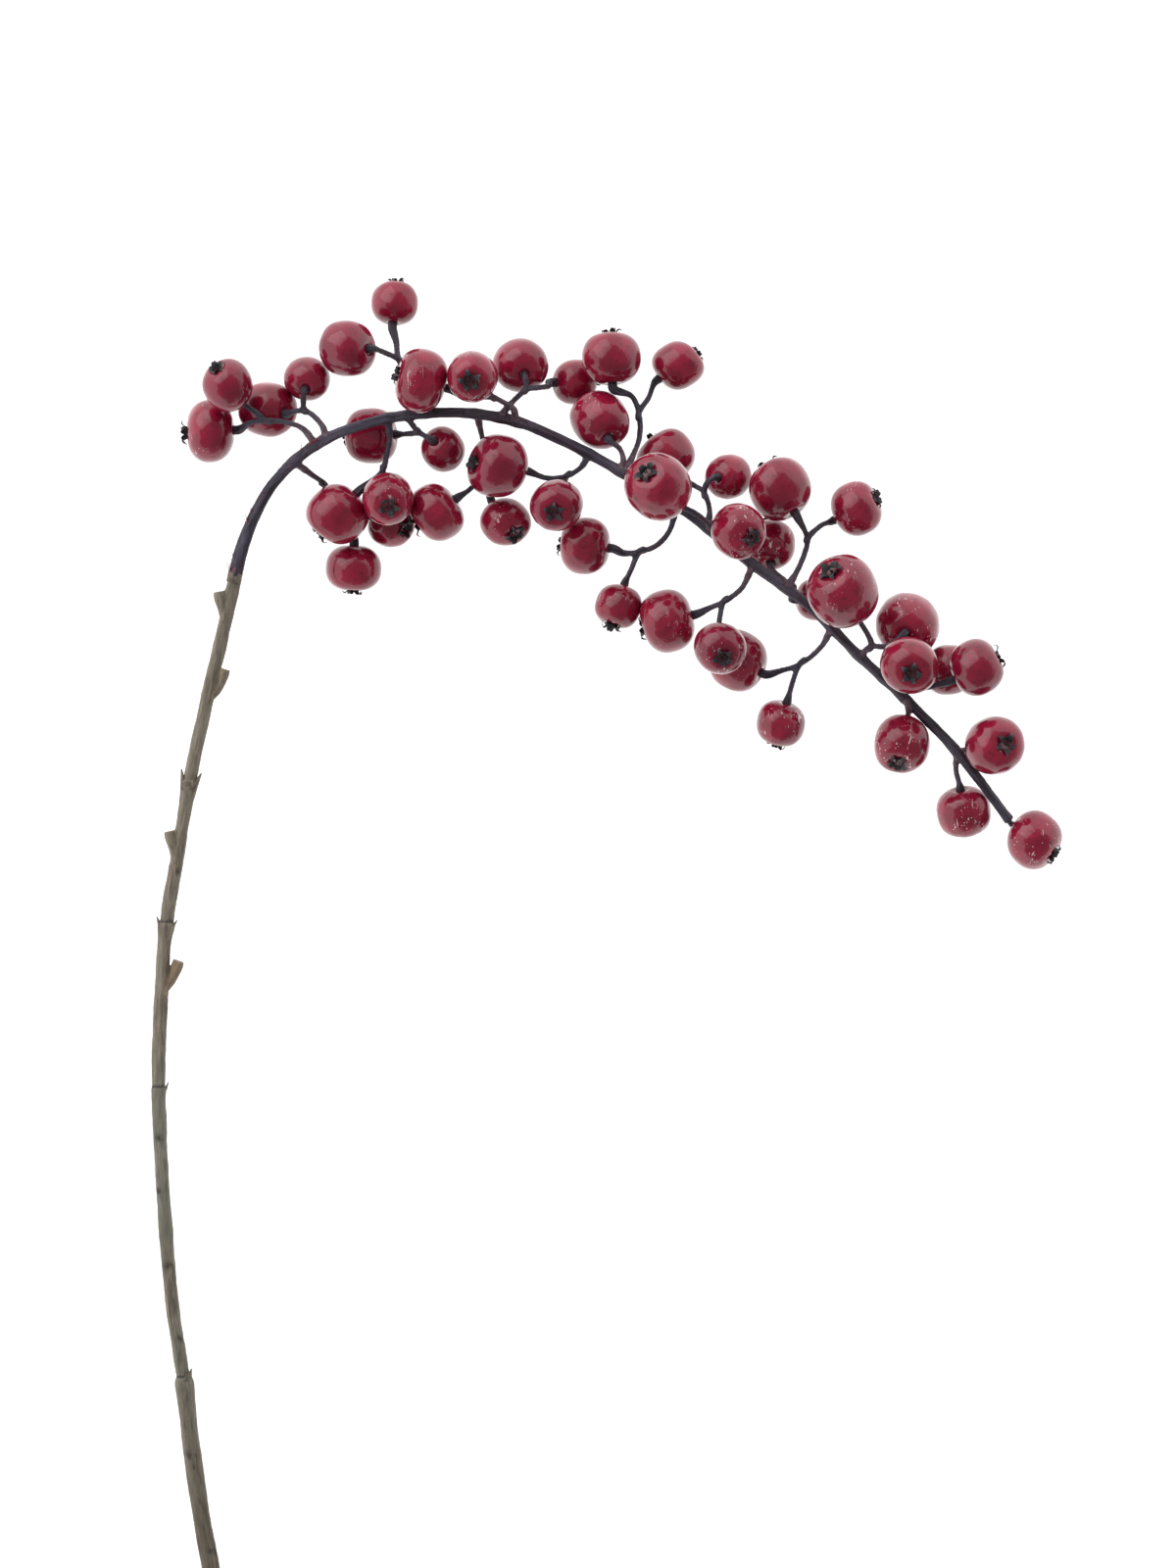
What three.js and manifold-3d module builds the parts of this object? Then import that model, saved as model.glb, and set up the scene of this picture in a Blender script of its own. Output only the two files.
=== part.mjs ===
// A cut sprig of firethorn. A long bare cane ends in a sleeve, out of which an arching branch
// carries forked twigs of ripe pomes, each with the dried star of its calyx.
// Millimetres, +Z up. The sprig lies on z = 0 on its lowest fruit and on the cane's cut end,
// and the cane runs along -Y. The origin is below the middle of the whole sprig's box.

import * as THREE from 'three';
import { mergeVertices } from 'three/addons/utils/BufferGeometryUtils.js';
import Module from 'manifold-3d';

const wasm = await Module();
wasm.setup();

// ---- Driving dimensions ------------------------------------------------------------------

const SLEEVE_X = -57.1;            // the sleeve end, from which every x and y below is measured
const SLEEVE_Y = 57.6;
const REST = 'rest';               // the height of a fruit that lies on the surface

const SEAT_GAP = 0.5;              // a stalk's end to the dimple of its fruit
const SLIVER = 0.06;               // edges shorter than this are closed up where solids join
const SLEEVE_GAP = 0.4;            // the branch's foot to the cane's sleeve

const CANE_FOOT_RADIUS = 1.38;     // the cane at its cut end, below its last ring
const CANE_RADIUS = 1.07;          // the cane above that ring
const BRANCH_RADIUS = [            // foot to tip, evenly along it
  1.02, 0.82, 0.79, 0.79, 0.79, 0.79, 0.78, 0.78, 0.77, 0.76, 0.7,
];
const TWIG_FOOT_RADIUS = 0.64;
const TWIG_RADIUS = 0.46;
const STALK_END_RADIUS = 0.64;
const TWIG_FOOT_SHARE = 0.25;      // the share of a twig over which its foot tapers
const STALK_END_SHARE = 0.28;      // and the share over which its end widens
const FORK_OVERLAP = 0.3;          // how far back from the fork a second stalk starts, as a share
const TURN_IN = 1.2;               // the straight run with which a stalk meets its fruit, at most
const TURN_IN_SHARE = 0.4;         // and at most this share of the way to its last bend

const CANE_SIDES = 9;
const BRANCH_SIDES = 9;
const TWIG_SIDES = 6;
const POME_SIDES = 10;
const CANE_STEPS = 26;
const BRANCH_STEPS = 40;
const STUB_STEPS = 2;
const TWIG_STEP = 1.9;
const TWIG_STEPS_LEAST = 4;
const RING_EDGE = 1.4;             // from a ring's middle to the stations either side of it
const RING_CLEARANCE = 0.012;      // no other station comes nearer to those, as a share of the cane
const SAME_POINT = 1e-5;           // corners closer than this are one

// ---- Layout: x and y from the sleeve end, z above the surface ------------------------------

const BRANCH_ROUTE = [
  [0.0, 0.0, 8.4], [1.2, 4.4, 8.8], [3.2, 9.4, 9.2], [6.4, 14.6, 9.6], [12.6, 20.1, 9.9],
  [20.3, 23.3, 10.1], [28.4, 24.8, 10.2], [36.1, 24.9, 10.2], [43.6, 23.5, 10.2],
  [51.7, 20.0, 10.2], [59.6, 15.7, 10.0], [69.2, 9.7, 9.8], [78.5, 2.4, 9.5],
  [88.2, -4.8, 9.1], [95.2, -11.8, 8.8], [102.5, -18.6, 8.2], [110.5, -26.7, 7.2],
  [118.8, -37.4, 5.7],
];

const CANE_ROUTE = [
  [-3.0, -161.0, 1.31], [-4.3, -151.5, 1.5], [-5.5, -145.0, 1.8], [-6.8, -135.6, 2.4],
  [-8.2, -123.6, 3.2], [-9.9, -111.3, 3.9], [-11.2, -94.0, 4.8], [-11.8, -79.0, 5.6],
  [-11.4, -65.0, 6.3], [-10.6, -53.5, 6.9], [-8.8, -42.8, 7.3], [-6.9, -31.2, 7.7],
  [-4.1, -18.0, 8.0], [-1.9, -8.8, 8.2], [0.0, 0.0, 8.4],
];

// The cane's rings, as the y where each sits, its extra radius and its half length.
const CANE_RINGS = [
  { y: -123.4, swell: 0.3, half: 1.3 },
  { y: -78.6, swell: 0.22, half: 1.1 },
  { y: -53.3, swell: 0.4, half: 1.3 },
  { y: -31.6, swell: 0.4, half: 1.5 },
];

// The cut stubs of old side shoots: base on the cane, tip, and the radius at each.
const CANE_STUBS = [
  { base: [-1.5, -9.0, 8.1], tip: [-2.3, -2.3, 8.5], radii: [0.72, 1.0] },
  { base: [-3.6, -19.0, 7.9], tip: [-1.5, -14.2, 8.3], radii: [0.62, 0.82] },
  { base: [-9.0, -45.0, 7.2], tip: [-10.0, -39.0, 7.7], radii: [0.7, 0.92] },
  { base: [-11.1, -64.0, 6.4], tip: [-8.7, -58.9, 6.9], radii: [0.6, 0.85] },
];

// Each pome: the x, y and z of its middle, its half width and half length, and which way its
// calyx faces, as a heading in degrees from +X towards +Y and a lift above the level.
const POMES = [
  [24.4, 42.1, 5.5, 3.6, 3.3, 86, -12],
  [17.3, 34.8, 10.0, 4.4, 4.0, 178, -30],
  [11.0, 30.4, 7.0, 3.5, 3.4, 82, -55],
  [-0.9, 29.2, 11.2, 3.9, 3.8, 128, 40],
  [-4.0, 22.5, REST, 4.7, 3.8, 182, -3],
  [4.9, 25.8, REST, 4.2, 4.2, 164, -47],
  [20.7, 21.8, REST, 4.2, 3.9, 182, -12],
  [28.6, 29.6, 13.4, 4.8, 4.0, 165, 6],
  [36.5, 30.1, 16.0, 3.9, 3.8, 253, 76],
  [43.7, 32.4, 7.2, 4.3, 4.1, 111, -62],
  [52.1, 30.1, REST, 3.5, 3.4, 3, -22],
  [57.7, 33.3, 9.2, 4.5, 4.1, 93, -8],
  [67.9, 32.5, 5.6, 3.8, 3.6, 36, -2],
  [55.9, 24.0, 8.6, 4.3, 4.3, 113, -40],
  [31.8, 19.6, 6.0, 3.3, 3.3, 322, -57],
  [40.4, 16.8, 10.8, 4.8, 4.3, 171, 24],
  [15.8, 9.6, 8.4, 4.6, 4.3, 227, -6],
  [23.6, 11.7, 11.7, 3.9, 3.8, 272, 68],
  [23.8, 8.0, 3.9, 3.4, 3.4, 340, 42],
  [30.8, 9.8, 7.8, 4.5, 3.7, 214, -6],
  [41.4, 8.5, 6.2, 3.8, 3.5, 305, 38],
  [49.3, 10.8, 11.8, 4.0, 3.8, 253, 68],
  [18.0, 1.4, REST, 4.3, 3.6, 268, -5],
  [53.6, 4.7, 6.2, 4.5, 3.9, 175, -6],
  [66.1, 18.3, REST, 4.6, 3.8, 128, -12],
  [64.7, 13.3, 17.2, 5.1, 5.0, 132, 56],
  [75.7, 15.4, 4.6, 3.5, 3.4, 5, -58],
  [83.6, 13.3, 9.4, 4.8, 4.5, 120, -15],
  [95.3, 10.5, 6.0, 4.1, 3.8, 27, 15],
  [77.0, 6.6, 14.4, 4.1, 4.0, 333, 55],
  [82.2, 5.0, REST, 3.9, 3.8, 90, -34],
  [92.9, -2.5, 13.4, 5.4, 5.2, 121, 42],
  [89.5, -3.4, REST, 3.4, 3.4, 0, -10],
  [58.7, -4.5, 4.4, 3.6, 3.3, 253, 10],
  [66.3, -6.8, 6.4, 4.8, 4.1, 194, -5],
  [74.3, -11.1, 13.0, 4.0, 3.9, 282, 65],
  [77.2, -12.8, REST, 4.6, 4.3, 152, -15],
  [83.7, -22.5, 5.4, 3.8, 3.4, 254, -14],
  [103.3, -7.3, REST, 4.8, 4.7, 61, -70],
  [103.0, -13.7, 13.3, 4.4, 4.3, 268, 72],
  [109.6, -14.2, REST, 3.9, 3.8, 0, -40],
  [113.4, -14.0, 11.8, 4.3, 4.0, 27, 4],
  [102.2, -25.6, 8.0, 4.3, 4.0, 255, 38],
  [116.3, -25.9, 9.6, 4.5, 4.3, 9, 68],
  [111.9, -36.1, REST, 4.2, 3.9, 280, -20],
  [122.8, -40.4, REST, 4.5, 4.1, 325, 18],
];

// Each twig: its route from the branch's middle to its fork, and for each pome it carries, counted
// from 1 in the list above, the bends of the stalk between the fork and that pome.
const TWIGS = [
  { route: [[12.4, 20.2, 9.9], [10.4, 22.6, 10.2], [7.6, 23.6, 9.8], [4.9, 23.8, 9.2]],
    stalks: [{ fruit: 5, bends: [[2.5, 23.6, 8.2]] }, { fruit: 4, bends: [[3.4, 25.0, 9.2]] }] },
  { route: [[14.0, 20.9, 9.9], [13.6, 22.8, 10.2], [11.8, 24.8, 9.8], [10.7, 25.3, 9.6]],
    stalks: [{ fruit: 6, bends: [[9.4, 25.3, 9.4]] }, { fruit: 3, bends: [] }] },
  { route: [[9.4, 17.3, 9.7], [11.8, 15.6, 7.8], [13.6, 14.2, 5.2]],
    stalks: [
      { fruit: 23, bends: [[15.3, 10.4, 2.4], [17.1, 7.4, 3.2]] },
      { fruit: 19, bends: [[16.4, 10.4, 1.9], [18.6, 9.9, 1.1]] },
    ] },
  { route: [[23.4, 24.0, 10.1], [23.8, 21.6, 9.6], [23.3, 18.6, 9.2], [22.7, 16.2, 8.9]],
    stalks: [{ fruit: 17, bends: [[20.6, 14.4, 8.2]] }, { fruit: 18, bends: [] }] },
  { route: [[26.3, 24.5, 10.2], [27.2, 23.2, 9.8], [28.1, 22.1, 9.3]],
    stalks: [{ fruit: 15, bends: [] }, { fruit: 7, bends: [[26.3, 21.9, 7.4]] }] },
  { route: [[37.1, 24.8, 10.2], [37.7, 22.2, 7.9], [38.2, 19.5, 5.2], [38.3, 16.8, 4.6]],
    stalks: [{ fruit: 21, bends: [[38.5, 14.1, 4.7]] }, { fruit: 20, bends: [[36.4, 13.8, 6.6]] }] },
  { route: [[29.6, 24.8, 10.2], [28.7, 27.1, 8.4], [27.1, 30.3, 7.6], [25.1, 33.3, 7.8]],
    stalks: [{ fruit: 1, bends: [[24.7, 36.0, 7.0]] }, { fruit: 2, bends: [[23.5, 34.0, 9.4]] }] },
  { route: [[43.1, 23.6, 10.2], [42.7, 25.5, 11.4], [41.0, 26.6, 11.2], [39.5, 27.3, 10.4]],
    stalks: [{ fruit: 8, bends: [[36.7, 27.3, 9.8], [34.6, 27.6, 11.2]] }, { fruit: 9, bends: [] }] },
  { route: [[40.6, 24.3, 10.2], [41.8, 25.8, 10.6], [43.4, 27.4, 11.2], [44.6, 28.4, 11.4]],
    stalks: [{ fruit: 11, bends: [[46.9, 28.9, 9.6], [48.0, 29.2, 7.4]] }, { fruit: 10, bends: [] }] },
  { route: [[58.9, 16.1, 10.0]],
    stalks: [{ fruit: 14, bends: [[59.5, 17.7, 10.4], [58.9, 19.5, 10.4]] }] },
  { route: [[59.6, 15.7, 10.0], [60.8, 18.0, 9.4], [62.0, 21.3, 8.6], [61.9, 25.1, 8.0]],
    stalks: [{ fruit: 12, bends: [[60.8, 27.6, 8.6]] }, { fruit: 13, bends: [[63.4, 27.4, 7.0]] }] },
  { route: [[54.2, 18.7, 10.1], [53.2, 16.8, 9.9], [50.8, 15.3, 9.4]],
    stalks: [{ fruit: 16, bends: [[47.8, 15.0, 9.2]] }, { fruit: 22, bends: [[50.6, 14.6, 7.6]] }] },
  { route: [[67.6, 10.8, 9.8], [66.7, 7.2, 9.0], [64.7, 4.8, 8.2], [62.0, 3.8, 7.4]],
    stalks: [{ fruit: 24, bends: [[59.6, 3.6, 6.8]] }, { fruit: 34, bends: [[60.8, 1.2, 6.2]] }] },
  { route: [[72.4, 7.3, 9.7], [72.7, 10.2, 9.2], [71.9, 12.8, 8.6]],
    stalks: [{ fruit: 25, bends: [[70.6, 13.9, 6.4]] }, { fruit: 27, bends: [[72.4, 14.4, 9.0]] }] },
  { route: [[74.0, 6.1, 9.6], [72.4, 8.0, 11.2]],
    stalks: [{ fruit: 26, bends: [[70.0, 9.8, 12.2]] }, { fruit: 30, bends: [] }] },
  { route: [[84.2, -1.8, 9.3], [84.5, -1.2, 9.4]],
    stalks: [{ fruit: 31, bends: [] }, { fruit: 33, bends: [[85.7, -1.5, 7.6]] }] },
  { route: [[84.5, -2.0, 9.3], [86.3, 1.2, 9.0], [87.4, 3.9, 8.6], [87.7, 5.8, 8.6]],
    stalks: [{ fruit: 28, bends: [] }, { fruit: 29, bends: [[89.8, 7.8, 7.6]] }] },
  { route: [[95.7, -12.2, 8.8], [97.4, -10.8, 9.8]],
    stalks: [
      { fruit: 39, bends: [[99.5, -10.8, 10.2], [101.0, -10.0, 10.4]] },
      { fruit: 32, bends: [[97.1, -9.4, 9.6]] },
    ] },
  { route: [[99.4, -15.7, 8.5], [100.9, -15.0, 7.2]],
    stalks: [
      { fruit: 42, bends: [[103.9, -17.1, 8.6], [106.6, -16.9, 10.0]] },
      { fruit: 40, bends: [[102.3, -14.0, 6.6]] },
      { fruit: 41, bends: [[103.9, -15.3, 7.2]] },
    ] },
  { route: [[79.3, 1.8, 9.5], [77.6, -1.8, 8.8], [74.8, -3.9, 7.9]],
    stalks: [{ fruit: 35, bends: [[72.7, -4.8, 7.2]] }, { fruit: 36, bends: [[74.3, -6.0, 8.6]] }] },
  { route: [[91.4, -7.8, 9.0], [89.8, -10.8, 8.2], [86.5, -13.5, 6.8]],
    stalks: [{ fruit: 37, bends: [[83.8, -14.4, 5.6]] }, { fruit: 38, bends: [[85.4, -16.6, 6.0]] }] },
  { route: [[102.8, -18.9, 8.2]],
    stalks: [{ fruit: 43, bends: [[103.1, -20.1, 9.0]] }] },
  { route: [[110.6, -26.8, 7.2]],
    stalks: [{ fruit: 45, bends: [[110.6, -29.7, 6.0]] }, { fruit: 44, bends: [] }] },
  { route: [[118.6, -37.2, 5.7]],
    stalks: [{ fruit: 46, bends: [] }] },
];

// A pome's side from stalk dimple to calyx basin, as fractions of its half width and length.
const POME_SIDE = [
  [0, -0.84], [0.42, -0.96], [0.84, -0.62], [1, 0], [0.86, 0.6], [0.5, 0.93], [0, 0.84],
];
const DIMPLE = POME_SIDE[0][1];
const BASIN = POME_SIDE[POME_SIDE.length - 1][1];

// The calyx, in mm: five dried sepals that stand in the basin and reach a little past it.
const SEPALS = 5;
const CALYX_TIP_RADIUS = 1.5;
const CALYX_NOTCH_RADIUS = 0.75;
const CALYX_REACH = 0.45;
const CALYX_ROOT = 0.3;            // how deep its foot sits below the basin's floor

// ---- Materials -----------------------------------------------------------------------------

const pomeSkin = new THREE.MeshStandardMaterial({ color: 0x8a1626, roughness: 0.22, metalness: 0 });
const branchBark = new THREE.MeshStandardMaterial({ color: 0x3f3a42, roughness: 0.6, metalness: 0 });
const caneBark = new THREE.MeshStandardMaterial({ color: 0x70695a, roughness: 0.75, metalness: 0 });

// ---- Solids ----------------------------------------------------------------------------------

function place([x, y, z]) {
  return new THREE.Vector3(SLEEVE_X + x, SLEEVE_Y + y, z);
}

function toSolid(geometry) {
  geometry.deleteAttribute('normal');
  geometry.deleteAttribute('uv');
  const merged = mergeVertices(geometry, SAME_POINT);
  const corners = merged.index.array;
  const kept = [];
  for (let i = 0; i < corners.length; i += 3) {
    const [a, b, c] = [corners[i], corners[i + 1], corners[i + 2]];
    if (a !== b && b !== c && c !== a) kept.push(a, b, c);
  }
  return new wasm.Manifold(new wasm.Mesh({
    numProp: 3,
    vertProperties: new Float32Array(merged.attributes.position.array),
    triVerts: new Uint32Array(kept),
  }));
}

function toGeometry(solid) {
  const mesh = solid.getMesh();
  const geometry = new THREE.BufferGeometry();
  geometry.setAttribute('position', new THREE.BufferAttribute(mesh.vertProperties, 3));
  geometry.setIndex(new THREE.BufferAttribute(mesh.triVerts, 1));
  geometry.computeVertexNormals();
  return geometry;
}

// The union as one body, without the slivers and pinprick pockets that nearly touching faces leave.
function joined(geometries) {
  const whole = geometries.map(toSolid).reduce((sum, next) => sum.add(next)).simplify(SLIVER);
  return whole.decompose().reduce((largest, next) => (next.volume() > largest.volume() ? next : largest));
}

// A closed tapering tube along a smooth route. Its radius and rings follow the shares of the
// route's length given in stations, and both ends are flat.
function limb(points, stations, radiusAt, sides) {
  const curve = new THREE.CatmullRomCurve3(points, false, 'centripetal');
  const positions = [];
  const index = [];
  let across = new THREE.Vector3(0, 0, 1);
  for (const share of stations) {
    const centre = curve.getPointAt(share);
    const along = curve.getTangentAt(share);
    across = across.clone().addScaledVector(along, -across.dot(along)).normalize();
    const beside = new THREE.Vector3().crossVectors(along, across);
    for (let side = 0; side < sides; side += 1) {
      const turn = (2 * Math.PI * side) / sides;
      const corner = centre.clone()
        .addScaledVector(across, radiusAt(share) * Math.cos(turn))
        .addScaledVector(beside, radiusAt(share) * Math.sin(turn));
      positions.push(corner.x, corner.y, corner.z);
    }
  }
  const last = (stations.length - 1) * sides;
  for (let side = 0; side < sides; side += 1) {
    const next = (side + 1) % sides;
    for (let ring = 0; ring < last; ring += sides) {
      index.push(ring + side, ring + next, ring + sides + side);
      index.push(ring + next, ring + sides + next, ring + sides + side);
    }
    if (side > 0 && next > 0) {
      index.push(0, next, side);
      index.push(last, last + side, last + next);
    }
  }
  const geometry = new THREE.BufferGeometry();
  geometry.setAttribute('position', new THREE.BufferAttribute(new Float32Array(positions), 3));
  geometry.setIndex(index);
  return geometry;
}

function evenStations(count) {
  return Array.from({ length: count + 1 }, (_, step) => step / count);
}

// ---- Pomes -------------------------------------------------------------------------------------

function pomeBody(halfWidth, halfLength) {
  const side = POME_SIDE.map(([r, y]) => new THREE.Vector2(r * halfWidth, y * halfLength));
  return new THREE.LatheGeometry(side, POME_SIDES);
}

function calyxStar(halfLength) {
  const outline = new THREE.Shape();
  for (let corner = 0; corner < 2 * SEPALS; corner += 1) {
    const radius = corner % 2 === 0 ? CALYX_TIP_RADIUS : CALYX_NOTCH_RADIUS;
    const turn = (Math.PI * corner) / SEPALS;
    outline[corner === 0 ? 'moveTo' : 'lineTo'](radius * Math.cos(turn), radius * Math.sin(turn));
  }
  const foot = BASIN * halfLength - CALYX_ROOT;
  const depth = halfLength + CALYX_REACH - foot;
  const star = new THREE.ExtrudeGeometry(outline, { depth, bevelEnabled: false });
  star.rotateX(-Math.PI / 2);
  star.translate(0, foot, 0);
  return star;
}

function calyxDirection(heading, lift) {
  const turn = THREE.MathUtils.degToRad(heading);
  const rise = THREE.MathUtils.degToRad(lift);
  const level = Math.cos(rise);
  return new THREE.Vector3(level * Math.cos(turn), level * Math.sin(turn), Math.sin(rise));
}

// How far a turned shape reaches below its own middle.
function reachBelow(geometry, turn) {
  const corner = new THREE.Vector3();
  const position = geometry.attributes.position;
  let lowest = 0;
  for (let i = 0; i < position.count; i += 1) {
    corner.fromBufferAttribute(position, i).applyQuaternion(turn);
    lowest = Math.min(lowest, corner.z);
  }
  return -lowest;
}

function pome([x, y, z, halfWidth, halfLength, heading, lift], number) {
  const geometry = toGeometry(joined([pomeBody(halfWidth, halfLength), calyxStar(halfLength)]));
  const mesh = new THREE.Mesh(geometry, pomeSkin);
  const direction = calyxDirection(heading, lift);
  mesh.name = `berry_${String(number).padStart(2, '0')}`;
  mesh.quaternion.setFromUnitVectors(new THREE.Vector3(0, 1, 0), direction);
  mesh.position.copy(place([x, y, z === REST ? reachBelow(geometry, mesh.quaternion) : z]));
  const seat = mesh.position.clone().addScaledVector(direction, DIMPLE * halfLength - SEAT_GAP);
  return { mesh, direction, seat };
}

// ---- The branch and its twigs ----------------------------------------------------------------------

function twigRadius(share) {
  const foot = Math.max(0, 1 - share / TWIG_FOOT_SHARE);
  const end = Math.max(0, 1 - (1 - share) / STALK_END_SHARE);
  return TWIG_RADIUS + (TWIG_FOOT_RADIUS - TWIG_RADIUS) * foot + (STALK_END_RADIUS - TWIG_RADIUS) * end;
}

function routeLength(points) {
  return points.slice(1).reduce((sum, point, i) => sum + point.distanceTo(points[i]), 0);
}

// A stalk bends round to meet its fruit end on, so it gets one more point ahead of the dimple.
function stalkRoute(start, bends, fruit) {
  const last = bends.length > 0 ? place(bends[bends.length - 1]) : start[start.length - 1];
  const ahead = Math.min(TURN_IN, TURN_IN_SHARE * last.distanceTo(fruit.seat));
  const turnIn = fruit.seat.clone().addScaledVector(fruit.direction, -ahead);
  return [...start, ...bends.map(place), turnIn, fruit.seat];
}

// The first fruit named on a twig ends it, and the others fork off a little before the fork.
function twigLimbs({ route, stalks }, pomes) {
  const stem = route.map(place);
  const fork = stem[stem.length - 1];
  const before = stem.length > 1 ? fork.clone().lerp(stem[stem.length - 2], FORK_OVERLAP) : fork;
  return stalks.map(({ fruit, bends }, order) => {
    const start = order === 0 || stem.length === 1 ? stem : [before, fork];
    const points = stalkRoute(start, bends, pomes[fruit - 1]);
    const steps = Math.max(TWIG_STEPS_LEAST, Math.round(routeLength(points) / TWIG_STEP));
    return limb(points, evenStations(steps), twigRadius, TWIG_SIDES);
  });
}

function branchRadius(share) {
  const along = share * (BRANCH_RADIUS.length - 1);
  const from = Math.min(Math.floor(along), BRANCH_RADIUS.length - 2);
  return THREE.MathUtils.lerp(BRANCH_RADIUS[from], BRANCH_RADIUS[from + 1], along - from);
}

function branch(pomes) {
  const points = BRANCH_ROUTE.map(place);
  const first = points[0].clone().lerp(points[1], SLEEVE_GAP / points[0].distanceTo(points[1]));
  const stem = limb([first, ...points.slice(1)], evenStations(BRANCH_STEPS), branchRadius, BRANCH_SIDES);
  const twigs = TWIGS.flatMap((twig) => twigLimbs(twig, pomes));
  const mesh = new THREE.Mesh(toGeometry(joined([stem, ...twigs])), branchBark);
  mesh.name = 'berry_branch';
  return mesh;
}

// ---- The cane ---------------------------------------------------------------------------------------

function cane() {
  const points = CANE_ROUTE.map(place);
  const curve = new THREE.CatmullRomCurve3(points, false, 'centripetal');
  const span = points[points.length - 1].y - points[0].y;
  const shareOf = (y) => (SLEEVE_Y + y - points[0].y) / span;
  const lastRing = shareOf(CANE_RINGS[0].y);
  const radiusAt = (share) => {
    const y = curve.getPointAt(share).y - SLEEVE_Y;
    const swells = CANE_RINGS.map((ring) => ring.swell * Math.exp(-(((y - ring.y) / ring.half) ** 2)));
    const base = share < lastRing ? CANE_FOOT_RADIUS : CANE_RADIUS;
    return base + swells.reduce((sum, swell) => sum + swell, 0);
  };
  const ringSteps = [-RING_EDGE, 0, RING_EDGE];
  const nearRings = CANE_RINGS.flatMap((ring) => ringSteps.map((step) => shareOf(ring.y + step)));
  const isClear = (share) => nearRings.every((near) => Math.abs(share - near) > RING_CLEARANCE);
  const clear = evenStations(CANE_STEPS).filter(isClear);
  const stations = [...clear, ...nearRings].sort((a, b) => a - b);
  const stem = limb(points, stations, radiusAt, CANE_SIDES);
  const stubs = CANE_STUBS.map(({ base, tip, radii }) => {
    const radius = (share) => THREE.MathUtils.lerp(radii[0], radii[1], share);
    return limb([place(base), place(tip)], evenStations(STUB_STEPS), radius, TWIG_SIDES);
  });
  const mesh = new THREE.Mesh(toGeometry(joined([stem, ...stubs])), caneBark);
  mesh.name = 'cane';
  return mesh;
}

// ---- The sprig ----------------------------------------------------------------------------------------

const pomes = POMES.map((row, i) => pome(row, i + 1));
const sprig = new THREE.Group();
sprig.add(cane(), branch(pomes), ...pomes.map(({ mesh }) => mesh));

export default sprig;
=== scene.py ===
"""Firethorn berry sprig, laid down and seen from above: the looks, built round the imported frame.

Lengths in the tables are in millimetres, as the frame was drawn, and MM turns them into metres.
"""
import bpy
import math
import random
import numpy as np
from mathutils import Matrix, Vector, kdtree, noise

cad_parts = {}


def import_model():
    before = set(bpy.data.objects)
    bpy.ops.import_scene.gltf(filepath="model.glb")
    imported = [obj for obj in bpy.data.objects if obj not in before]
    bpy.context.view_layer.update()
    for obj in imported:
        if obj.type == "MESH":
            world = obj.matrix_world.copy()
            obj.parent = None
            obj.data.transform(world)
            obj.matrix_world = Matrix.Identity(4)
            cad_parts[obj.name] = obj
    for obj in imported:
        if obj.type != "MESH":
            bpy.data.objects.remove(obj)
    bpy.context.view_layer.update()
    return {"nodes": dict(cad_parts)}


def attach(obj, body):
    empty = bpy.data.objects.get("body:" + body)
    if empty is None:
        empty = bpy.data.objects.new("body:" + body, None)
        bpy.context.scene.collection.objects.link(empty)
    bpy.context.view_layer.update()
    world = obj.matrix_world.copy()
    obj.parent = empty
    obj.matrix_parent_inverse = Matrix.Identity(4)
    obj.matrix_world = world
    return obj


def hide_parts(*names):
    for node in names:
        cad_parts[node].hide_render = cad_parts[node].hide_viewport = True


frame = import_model()

MM = 0.001
BODY = "root"

# ---- The sprig's layout, as in the frame ---------------------------------------------------------

# The sleeve end, from which every x and y below is measured. z is above the surface.
SLEEVE_X = -57.1
SLEEVE_Y = 57.6

BRANCH_ROUTE = [
    [0.0, 0.0, 8.4], [1.2, 4.4, 8.8], [3.2, 9.4, 9.2], [6.4, 14.6, 9.6], [12.6, 20.1, 9.9],
    [20.3, 23.3, 10.1], [28.4, 24.8, 10.2], [36.1, 24.9, 10.2], [43.6, 23.5, 10.2],
    [51.7, 20.0, 10.2], [59.6, 15.7, 10.0], [69.2, 9.7, 9.8], [78.5, 2.4, 9.5],
    [88.2, -4.8, 9.1], [95.2, -11.8, 8.8], [102.5, -18.6, 8.2], [110.5, -26.7, 7.2],
    [118.8, -37.4, 5.7],
]

CANE_ROUTE = [
    [-3.0, -161.0, 1.31], [-4.3, -151.5, 1.5], [-5.5, -145.0, 1.8], [-6.8, -135.6, 2.4],
    [-8.2, -123.6, 3.2], [-9.9, -111.3, 3.9], [-11.2, -94.0, 4.8], [-11.8, -79.0, 5.6],
    [-11.4, -65.0, 6.3], [-10.6, -53.5, 6.9], [-8.8, -42.8, 7.3], [-6.9, -31.2, 7.7],
    [-4.1, -18.0, 8.0], [-1.9, -8.8, 8.2], [0.0, 0.0, 8.4],
]

# The cane's rings, as the y where each sits, its extra radius and its half length.
CANE_RINGS = [
    (-123.4, 0.3, 1.3),
    (-78.6, 0.22, 1.1),
    (-53.3, 0.4, 1.3),
    (-31.6, 0.4, 1.5),
]

# The cut stubs of old side shoots: base on the cane, tip, and the radius at each.
CANE_STUBS = [
    ([-1.5, -9.0, 8.1], [-2.3, -2.3, 8.5], [0.72, 1.0]),
    ([-3.6, -19.0, 7.9], [-1.5, -14.2, 8.3], [0.62, 0.82]),
    ([-9.0, -45.0, 7.2], [-10.0, -39.0, 7.7], [0.7, 0.92]),
    ([-11.1, -64.0, 6.4], [-8.7, -58.9, 6.9], [0.6, 0.85]),
]

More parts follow.
